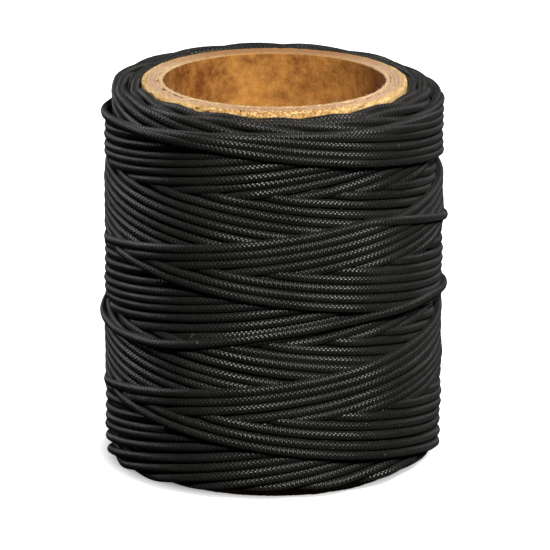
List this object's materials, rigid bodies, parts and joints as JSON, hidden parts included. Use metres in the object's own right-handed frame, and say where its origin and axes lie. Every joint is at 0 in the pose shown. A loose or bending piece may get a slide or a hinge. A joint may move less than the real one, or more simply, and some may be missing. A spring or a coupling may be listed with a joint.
{
  "type": "waxed thread spool",
  "caption": "Open paperboard tube core cross-wound with one long waxed braided thread for hand-stitching leather.",
  "frame": {"origin": "middle of the core's bottom cut end, on the surface that the spool stands on", "axes": "+Z along the core's bore, up; X and Y are free, and the side that shows the thread's loose end faces -Y"},
  "size_m": [0.0388, 0.0388, 0.045],
  "materials": {
    "kraft_liner": "smooth kraft liner, mottled",
    "kraft_ply": "raw cut kraft paperboard",
    "kraft_wrap": "smooth kraft wrap",
    "waxed_thread": "black braided polyester, waxed"
  },
  "bodies": {
    "root": {"core_liner_ply": "kraft_liner", "core_inner_ply": "kraft_ply", "core_middle_ply": "kraft_ply", "core_outer_ply": "kraft_ply", "core_wrap_ply": "kraft_wrap", "thread_winding": "waxed_thread"}
  },
  "joints": []
}
